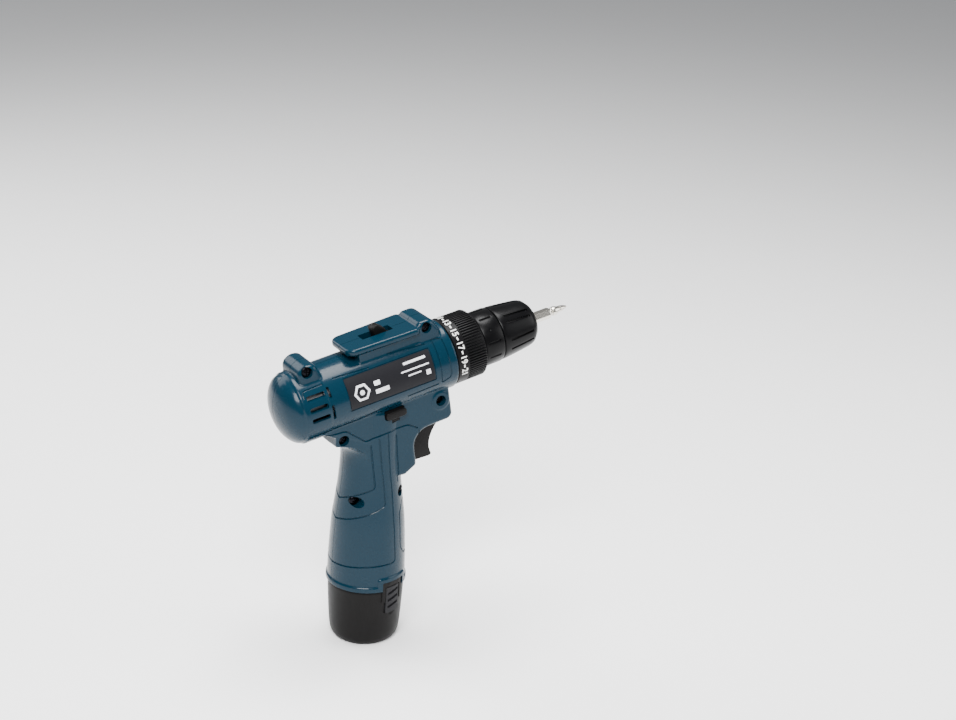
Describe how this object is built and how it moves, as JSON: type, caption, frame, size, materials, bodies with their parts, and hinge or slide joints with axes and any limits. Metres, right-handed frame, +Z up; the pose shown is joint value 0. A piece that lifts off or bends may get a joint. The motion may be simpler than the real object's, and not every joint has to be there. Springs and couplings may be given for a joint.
{
  "type": "cordless drill",
  "caption": "Pistol-grip cordless drill driver with a keyless chuck, a numbered torque ring, a speed slider, a trigger and a clip-in battery that it stands on.",
  "frame": {"origin": "middle of the battery's flat foot, which the drill stands on", "axes": "+X the way the bit points, seen from above; +Y to the drill's left; +Z up along the handle. The spindle points 11.4 degrees above +X and meets the handle's axis 172.5 mm up."},
  "size_m": [0.2061, 0.0514, 0.2096],
  "materials": {
    "housing_blue": "satin moulded plastic",
    "label": "dark printed foil, left blank",
    "screws": "blackened steel",
    "ring_black": "satin black nylon",
    "chuck_black": "glossy black nylon",
    "control_black": "matte black plastic",
    "battery_black": "fine-textured matte black plastic",
    "button_grey": "matte dark grey plastic",
    "inner_plastic": "plain black nylon",
    "lens": "clear smoked plastic",
    "bit_steel": "bright polished steel",
    "chuck_steel": "machined steel",
    "gear_steel": "sintered steel",
    "motor_steel": "zinc-plated steel",
    "windings": "lacquered copper and steel",
    "contacts": "copper alloy",
    "cell_wrap": "shrink wrap",
    "board": "fibreglass board"
  },
  "bodies": {
    "housing": {"housing_right": "housing_blue", "housing_left": "housing_blue", "name_plate": "label", "housing_screw_rear_top": "screws", "housing_screw_front_top": "screws", "housing_screw_front_low": "screws", "housing_screw_rear_low": "screws", "housing_screw_mid_handle": "screws", "housing_screw_front_handle": "screws", "motor_can": "motor_steel", "motor_end_cap": "inner_plastic", "gearbox_case": "inner_plastic", "first_ring_gear": "gear_steel", "rear_bearing": "motor_steel", "front_bearing": "motor_steel", "clutch_washer": "motor_steel", "clutch_spring": "motor_steel", "trigger_switch": "inner_plastic", "work_light_lens": "lens", "terminal_block": "contacts"},
    "rotor": {"armature": "windings", "pinion": "gear_steel"},
    "first_carrier": {"first_carrier": "gear_steel"},
    "first_planet_1": {"first_planet_1": "gear_steel"},
    "first_planet_2": {"first_planet_2": "gear_steel"},
    "first_planet_3": {"first_planet_3": "gear_steel"},
    "second_planet_1": {"second_planet_1": "gear_steel"},
    "second_planet_2": {"second_planet_2": "gear_steel"},
    "second_planet_3": {"second_planet_3": "gear_steel"},
    "spindle": {"spindle": "chuck_steel", "chuck_body": "chuck_steel", "chuck_rear_sleeve": "chuck_black"},
    "chuck_sleeve": {"chuck_front_sleeve": "chuck_black"},
    "chuck_jaw_1": {"chuck_jaw_1": "chuck_steel"},
    "chuck_jaw_2": {"chuck_jaw_2": "chuck_steel"},
    "chuck_jaw_3": {"chuck_jaw_3": "chuck_steel"},
    "bit": {"screwdriver_bit": "bit_steel"},
    "torque_ring": {"torque_ring": "ring_black", "adjusting_nut": "inner_plastic"},
    "speed_slider": {"speed_slider": "control_black", "shift_fork": "motor_steel", "second_ring_gear": "gear_steel"},
    "trigger": {"trigger": "control_black", "trigger_plunger": "inner_plastic", "trigger_spring": "motor_steel"},
    "direction_selector": {"direction_selector": "control_black"},
    "battery": {"battery_base": "battery_black", "battery_stem": "battery_black", "battery_cell_1": "cell_wrap", "battery_cell_2": "cell_wrap", "battery_cell_3": "cell_wrap", "battery_circuit_board": "board"},
    "release_button_right": {"release_button_right": "button_grey"},
    "release_button_left": {"release_button_left": "button_grey"}
  },
  "joints": [
    {"name": "motor_spin", "type": "hinge", "parent": "housing", "child": "rotor", "pos_m": [0, 0, 0.1725], "axis": [0.9803, 0, 0.1977], "continuous": true},
    {"name": "first_carrier_spin", "type": "hinge", "parent": "housing", "child": "first_carrier", "pos_m": [0, 0, 0.1725], "axis": [0.9803, 0, 0.1977], "continuous": true},
    {"name": "spindle_spin", "type": "hinge", "parent": "housing", "child": "spindle", "pos_m": [0, 0, 0.1725], "axis": [0.9803, 0, 0.1977], "continuous": true},
    {"name": "first_planet_1_spin", "type": "hinge", "parent": "first_carrier", "child": "first_planet_1", "pos_m": [0.00207, 0, 0.16224], "axis": [0.9803, 0, 0.1977], "continuous": true},
    {"name": "first_planet_2_spin", "type": "hinge", "parent": "first_carrier", "child": "first_planet_2", "pos_m": [-0.00103, 0.00907, 0.17763], "axis": [0.9803, 0, 0.1977], "continuous": true},
    {"name": "first_planet_3_spin", "type": "hinge", "parent": "first_carrier", "child": "first_planet_3", "pos_m": [-0.00103, -0.00907, 0.17763], "axis": [0.9803, 0, 0.1977], "continuous": true},
    {"name": "second_planet_1_spin", "type": "hinge", "parent": "spindle", "child": "second_planet_1", "pos_m": [0.00207, 0, 0.16224], "axis": [0.9803, 0, 0.1977], "continuous": true},
    {"name": "second_planet_2_spin", "type": "hinge", "parent": "spindle", "child": "second_planet_2", "pos_m": [-0.00103, 0.00907, 0.17763], "axis": [0.9803, 0, 0.1977], "continuous": true},
    {"name": "second_planet_3_spin", "type": "hinge", "parent": "spindle", "child": "second_planet_3", "pos_m": [-0.00103, -0.00907, 0.17763], "axis": [0.9803, 0, 0.1977], "continuous": true},
    {"name": "chuck_sleeve_turn", "type": "hinge", "parent": "spindle", "child": "chuck_sleeve", "pos_m": [0, 0, 0.1725], "axis": [0.9803, 0, 0.1977], "range_deg": [0, 1800]},
    {"name": "jaw_1_slide", "type": "slide", "parent": "spindle", "child": "chuck_jaw_1", "axis": [-0.999, 0, 0.0454], "range_m": [0, 0.0075]},
    {"name": "jaw_2_slide", "type": "slide", "parent": "spindle", "child": "chuck_jaw_2", "axis": [-0.9272, -0.2095, -0.3104], "range_m": [0, 0.0075]},
    {"name": "jaw_3_slide", "type": "slide", "parent": "spindle", "child": "chuck_jaw_3", "axis": [-0.9272, 0.2095, -0.3104], "range_m": [0, 0.0075]},
    {"name": "bit_pull", "type": "slide", "parent": "spindle", "child": "bit", "axis": [0.9803, 0, 0.1977], "range_m": [0, 0.03]},
    {"name": "torque_ring_turn", "type": "hinge", "parent": "housing", "child": "torque_ring", "pos_m": [0, 0, 0.1725], "axis": [0.9803, 0, 0.1977], "range_deg": [-122, 134]},
    {"name": "speed_shift", "type": "slide", "parent": "housing", "child": "speed_slider", "axis": [0.9803, 0, 0.1977], "range_m": [-0.007, 0]},
    {"name": "trigger_pull", "type": "slide", "parent": "housing", "child": "trigger", "axis": [-0.9803, 0, -0.1977], "range_m": [0, 0.006], "stiffness_N_per_m": 800, "springref_m": -0.004, "deforming": ["trigger_spring"]},
    {"name": "direction_shift", "type": "slide", "parent": "housing", "child": "direction_selector", "axis": [0, 1, 0], "range_m": [-0.003, 0.003]},
    {"name": "battery_pull", "type": "slide", "parent": "housing", "child": "battery", "axis": [0, 0, -1], "range_m": [0, 0.05]},
    {"name": "release_right_press", "type": "slide", "parent": "battery", "child": "release_button_right", "axis": [-0.2924, 0.9563, 0], "range_m": [0, 0.0012], "stiffness_N_per_m": 4000, "springref_m": -0.001},
    {"name": "release_left_press", "type": "slide", "parent": "battery", "child": "release_button_left", "axis": [-0.2924, -0.9563, 0], "range_m": [0, 0.0012], "stiffness_N_per_m": 4000, "springref_m": -0.001}
  ],
  "couplings": [
    {"joint": "first_carrier_spin", "follows": "motor_spin", "ratio": 0.28571},
    {"joint": "spindle_spin", "follows": "motor_spin", "ratio": 0.081633},
    {"joint": "first_planet_1_spin", "follows": "motor_spin", "ratio": -0.95238},
    {"joint": "first_planet_2_spin", "follows": "motor_spin", "ratio": -0.95238},
    {"joint": "first_planet_3_spin", "follows": "motor_spin", "ratio": -0.95238},
    {"joint": "second_planet_1_spin", "follows": "motor_spin", "ratio": -0.27211},
    {"joint": "second_planet_2_spin", "follows": "motor_spin", "ratio": -0.27211},
    {"joint": "second_planet_3_spin", "follows": "motor_spin", "ratio": -0.27211},
    {"joint": "jaw_1_slide", "follows": "chuck_sleeve_turn", "m_per_rad": 0.0002387},
    {"joint": "jaw_2_slide", "follows": "chuck_sleeve_turn", "m_per_rad": 0.0002387},
    {"joint": "jaw_3_slide", "follows": "chuck_sleeve_turn", "m_per_rad": 0.0002387}
  ]
}
